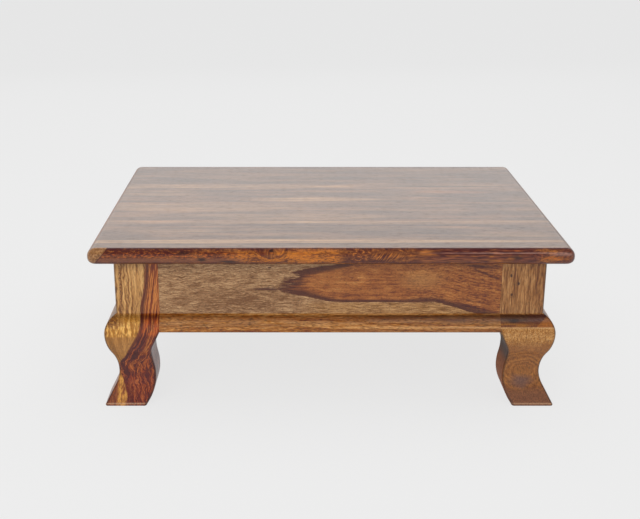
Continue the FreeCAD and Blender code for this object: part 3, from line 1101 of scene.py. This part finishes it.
        # Painted highlight along the ridge.
        ridge = z.near(*self.ridge) * (0.1 + speckle * 0.5) * abs(x).rise(215, 222)
        return plank.layers(
            colour,
            (slant, slope * 0.85),
            (wood(92, 54, 36), slope * x.rise(250, 262) * (1 - corner) * 0.5),
            (wood(158, 98, 54), slope * corner * 0.75),
            (wood(60, 38, 28), smear * slope * 0.85),
            (wood(214, 176, 134), ridge * 0.8))


@dataclass(frozen=True)
class Zinc:
    """Bright zinc plate on a steel screw."""

    name: str

    def dress(self, node: str) -> None:
        """Gives a piece this finish.

        Args:
            node: The name of the piece's node.
        """
        shader = Shader(self.name)
        x, y, z = shader.place()
        cloud = shader.noise(x / 2, y / 2, z / 2, 3)
        colour = shader.mix(srgb(150, 150, 148), srgb(190, 188, 180), cloud)
        cover(node, shader.finish(Base_Color=colour, Metallic=1, Roughness=0.28 + cloud * 0.2))


@dataclass(frozen=True)
class Top:
    """The four glued boards of the top."""

    tones: Tones = Tones(
        vein=srgb(78, 62, 54), deep=srgb(94, 72, 59), body=srgb(112, 84, 65), bright=srgb(138, 103, 74),
        sap_deep=srgb(134, 102, 74), sap=srgb(156, 120, 86), sap_bright=srgb(174, 136, 98))

    def dress(self) -> None:
        """Dresses the boards from front to back."""
        boards = (
            FrontBoardWood(
                "top_board_1_wood", self._growth(11, (-60, 40)), self.tones, lift=1.04, dash_strength=0.15,
                pale=(Mark((-120, -190), (600, 9.5), 0.5, 0.82), Mark((-200, -143), (95, 9), 0.5, 0.4),
                      Mark((235, -163), (85, 12), 0.5, 0.25), Mark((0, -211), (900, 8), 0.5, 0.15)),
                dark=(Mark((120, -158), (200, 3), 0.5, 0.4), Mark((40, -118), (420, 4), 0.5, 0.6),
                      Mark((70, -134), (140, 9), 0.5, 0.4)),
            ),
            TopWood(
                "top_board_2_wood", self._growth(12, (-150, 60)), self.tones, lift=1.14, dash_strength=0.15,
                pale=(Mark((0, -101), (700, 7), 0.5, 0.35), Mark((30, -102), (120, 6), 0.5, 0.7),
                      Mark((-190, -28), (190, 26), 0.5, 0.25), Mark((-60, -74), (200, 18), 0.5, 0.25)),
                orange=(Mark((150, -92), (120, 3), 0.5, 0.4), Mark((-230, -101), (50, 2.6), 0.5, 0.4)),
                dark=(Mark((240, -50), (80, 26), 0.5, 0.3), Mark((60, -8), (240, 4), 0.5, 0.3),
                      Mark((112, -46), (95, 34), 0.5, 0.3)),
            ),
            TopWood(
                "top_board_3_wood", self._growth(13, (150, 40)), self.tones, lift=1.1, dash_strength=0.15,
                pale=(Mark((-170, 92), (290, 16), 0.5, 0.4), Mark((-10, 14), (110, 13), 0.5, 0.6),
                      Mark((-250, 50), (100, 20), 0.5, 0.2), Mark((180, 100), (120, 5), 0.5, 0.25)),
                orange=(Mark((189, 57), (78, 11), 0.5, 0.5, -2),),
                dark=(Mark((-150, 50), (140, 4.5), 0.5, 0.4), Mark((192, 26), (90, 4.5), 0.5, 0.7, -6),
                      Mark((200, 92), (110, 8), 0.5, 0.4), Mark((240, 30), (110, 50), 0.5, 0.35),
                      Mark((110, 50), (70, 34), 0.5, 0.25)),
            ),
            TopWood(
                "top_board_4_wood", self._growth(14, (60, 90)), self.tones, lift=0.96, dash_strength=0.12,
                drift=0.24),
        )
        for number, finish in enumerate(boards, start=1):
            finish.dress(f"top_board_{number}")

    @staticmethod
    def _growth(seed: int, pith: Pair) -> Growth:
        """The growth of one board."""
        return Growth(Grain.ALONG_X, seed, pith, band=11, line=2.6, sway=16, ripple=3, stretch=2.2)


@dataclass(frozen=True)
class Legs:
    """The four legs."""

    split: Tones = Tones(
        vein=wood(80, 42, 22), deep=wood(106, 56, 32), body=wood(136, 76, 46), bright=wood(184, 116, 66),
        sap_deep=wood(128, 85, 52), sap=wood(172, 126, 78), sap_bright=wood(206, 160, 104))
    golden: Tones = Tones(
        vein=wood(96, 60, 38), deep=wood(130, 88, 56), body=wood(158, 112, 72), bright=wood(188, 142, 94),
        sap_deep=wood(140, 94, 52), sap=wood(166, 116, 66), sap_bright=wood(190, 144, 92))

    def dress(self) -> None:
        """Dresses the legs, each cut far from the pith, so that its lines run straight."""
        finishes = {
            "front_left": SplitLegWood("leg_front_left_wood", self._growth(21, -1200), self.split, 0.22),
            "front_right": GoldenLegWood("leg_front_right_wood", self._growth(22, 1400), self.golden, 0.22),
            "back_left": LegWood("leg_back_left_wood", self._growth(23, -900), self.split),
            "back_right": LegWood("leg_back_right_wood", self._growth(24, 900), self.golden),
        }
        for corner, finish in finishes.items():
            finish.dress(f"leg_{corner}")

    @staticmethod
    def _growth(seed: int, pith: float) -> Growth:
        """The growth of one leg."""
        return Growth(Grain.ALONG_Z, seed, (pith, pith), band=8, line=1.8, sway=8, ripple=2)


@dataclass(frozen=True)
class Rails:
    """The aprons and the mouldings under them."""

    apron: Tones = Tones(
        vein=wood(88, 52, 40), deep=wood(134, 82, 54), body=wood(158, 100, 60), bright=wood(184, 128, 76),
        sap_deep=wood(118, 84, 60), sap=wood(152, 116, 84), sap_bright=wood(182, 146, 108))
    rail: Tones = Tones(
        vein=wood(112, 66, 34), deep=wood(146, 94, 50), body=wood(170, 116, 66), bright=wood(198, 148, 94),
        sap_deep=wood(128, 86, 50), sap=wood(154, 108, 64), sap_bright=wood(182, 136, 86))

    def dress(self) -> None:
        """Dresses the four sides."""
        wavy = Growth(Grain.ALONG_X, 31, (-160, 40), band=8, line=1.25, sway=10, ripple=12, stretch=0.5)
        ApronWood("apron_front_wood", wavy, self.apron, 0.24).dress("apron_front")
        MouldingWood("moulding_front_wood", self._growth(35, "front"), self.rail).dress("moulding_front")
        for seed, side in ((32, "back"), (33, "left"), (34, "right")):
            apron, moulding = f"apron_{side}", f"moulding_{side}"
            Sheesham(f"{apron}_wood", self._growth(seed, side), self.apron).dress(apron)
            KneeWood(f"{moulding}_wood", self._growth(seed + 4, side), self.rail).dress(moulding)

    @staticmethod
    def _growth(seed: int, side: str) -> Growth:
        """The growth of one rail."""
        grain = Grain.ALONG_X if side in ("front", "back") else Grain.ALONG_Y
        return Growth(grain, seed, (40 * (seed % 5) - 260, 60), band=8, line=1.7, sway=12)


@dataclass(frozen=True)
class Underside:
    """What holds the table together from below."""

    beech: Tones = Tones(
        vein=srgb(186, 146, 106), deep=srgb(200, 162, 120), body=srgb(212, 176, 134),
        bright=srgb(222, 190, 150), sap_deep=srgb(204, 168, 126), sap=srgb(214, 180, 138),
        sap_bright=srgb(224, 192, 152))

    def dress(self) -> None:
        """Dresses the blocks, battens, dowels and screws."""
        corners = ("front_left", "front_right", "back_left", "back_right")
        blocks = [f"corner_block_{corner}" for corner in corners]
        for seed, name in enumerate((*blocks, "batten_left", "batten_right"), start=41):
            grain = Grain.ALONG_X if name in blocks else Grain.ALONG_Y
            Sheesham(f"{name}_wood", Growth(grain, seed, (0, 60), band=9)).dress(name)
        for seed, name in enumerate(("board_dowels", "moulding_dowels"), start=47):
            growth = Growth(Grain.ALONG_Y, seed, band=3, line=1)
            Sheesham(f"{name}_beech", growth, self.beech, 0.15, 0.6).dress(name)
        for name in ("batten_screws", "corner_block_screws", "top_screws", "moulding_screws"):
            Zinc(f"{name}_zinc").dress(name)


@dataclass(frozen=True)
class Lamp:
    """A soft rectangular lamp: place, aim and size in metres, and power in watts."""

    name: str
    place: Place
    aim: Place
    size: Pair
    power: float
    glossy: bool = True

    def hang(self) -> None:
        """Puts the lamp up."""
        data = bpy.data.lights.new(self.name, "AREA")
        data.shape = "RECTANGLE"
        data.size, data.size_y = self.size
        data.energy = self.power
        lamp = bpy.data.objects.new(self.name, data)
        lamp.location = self.place
        lamp.visible_glossy = self.glossy
        lamp.rotation_euler = (Vector(self.aim) - Vector(self.place)).to_track_quat("-Z", "Y").to_euler()
        bpy.context.scene.collection.objects.link(lamp)


@dataclass(frozen=True)
class Studio:
    """A pale floor, soft lamps and the camera."""

    camera_place: Place = (-0.0468, -1.4964, 0.6282)
    camera_pitch: float = 18.336
    lens: float = 60.12
    shift_x: float = 0.041
    backdrop: float = 0.791
    ceiling: float = 0.18
    floor_glow: float = 0.835
    floor_share: float = 0.9
    floor_size: float = 80
    room_light: float = 0.62
    wall_top: Pair = (0.38, 0.62)
    lamps: tuple[Lamp, ...] = (
        Lamp("overhead_softbox", (0, 0.3, 1.9), (0, 0, 0.1), (2.6, 2), 27, glossy=False),
        Lamp("front_softbox", (-1, -2.3, 1.3), (0, 0, 0.12), (1.8, 1.4), 27, glossy=False),
        Lamp("right_softbox", (0.75, -1.29, 1.9), (0.15, -0.1, 0.15), (0.8, 0.5), 2.6),
        Lamp("back_softbox", (-0.25, 2.6, 1.04), (0, 0, 0.2), (3.4, 0.75), 9.2))

    def build(self) -> None:
        """Sets up everything round the table."""
        self._floor()
        self._world()
        for lamp in self.lamps:
            lamp.hang()
        self._camera()
        bpy.context.scene.view_settings.view_transform = "Standard"

    def _floor(self) -> None:
        """A wide pale floor."""
        bpy.ops.object.select_all(action="DESELECT")
        bpy.ops.mesh.primitive_plane_add(size=self.floor_size, location=(0, 0, 0))
        floor = bpy.context.object
        floor.name = "studio_floor"
        shader = Shader("pale_floor")
        lit = shader.node("ShaderNodeBsdfDiffuse", None, {"Color": (0.8, 0.8, 0.8)})
        plain = shader.node("ShaderNodeEmission", None, {"Color": (self.floor_glow,) * 3, "Strength": 1})
        share = self._seen(shader) * self.floor_share
        shader.node_output(shader.node("ShaderNodeMixShader", None, {0: share, 1: lit, 2: plain}))
        floor.data.materials.append(shader.material)

    def _world(self) -> None:
        """A surround with pale walls and a darker ceiling, and even grey light."""
        world = bpy.data.worlds.new("studio")
        world.use_nodes = True
        bpy.context.scene.world = world
        shader = Shader.of_world(world)
        heading = shader.node("ShaderNodeTexCoord", output="Generated")
        parts = shader.node("ShaderNodeSeparateXYZ", None, {0: heading}, "Z")
        room = shader.mix((self.backdrop,) * 3, (self.ceiling,) * 3, parts.rise(*self.wall_top))
        walls = shader.node("ShaderNodeBackground", None, {"Color": room})
        inputs = {"Color": (self.backdrop,) * 3, "Strength": self.room_light}
        light = shader.node("ShaderNodeBackground", None, inputs)
        mixed = shader.node("ShaderNodeMixShader", None, {0: self._seen(shader), 1: light, 2: walls})
        out = shader.tree.nodes.new("ShaderNodeOutputWorld")
        shader.tree.links.new(mixed.socket, out.inputs["Surface"])

    @staticmethod
    def _seen(shader: Shader) -> Signal:
        """Whether the surface is seen, straight or in a reflection, rather than lighting something."""
        rays = ("Is Camera Ray", "Is Glossy Ray", "Is Transmission Ray")
        return reduce(Signal.most, [shader.node("ShaderNodeLightPath", output=ray) for ray in rays])

    def _camera(self) -> None:
        """The camera at the photograph's place."""
        data = bpy.data.cameras.new("camera")
        data.lens = self.lens
        data.sensor_width = 36
        data.shift_x = self.shift_x
        camera = bpy.data.objects.new("camera", data)
        camera.location = self.camera_place
        camera.rotation_euler = (math.radians(90 - self.camera_pitch), 0, 0)
        bpy.context.scene.collection.objects.link(camera)
        bpy.context.scene.camera = camera


def main() -> None:
    """Dresses the table and sets up the studio."""
    logging.basicConfig(level=logging.INFO, format="%(name)s: %(message)s")
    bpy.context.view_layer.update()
    for assembly in (Top(), Legs(), Rails(), Underside()):
        assembly.dress()
    Studio().build()


if __name__ == "__main__":
    main()
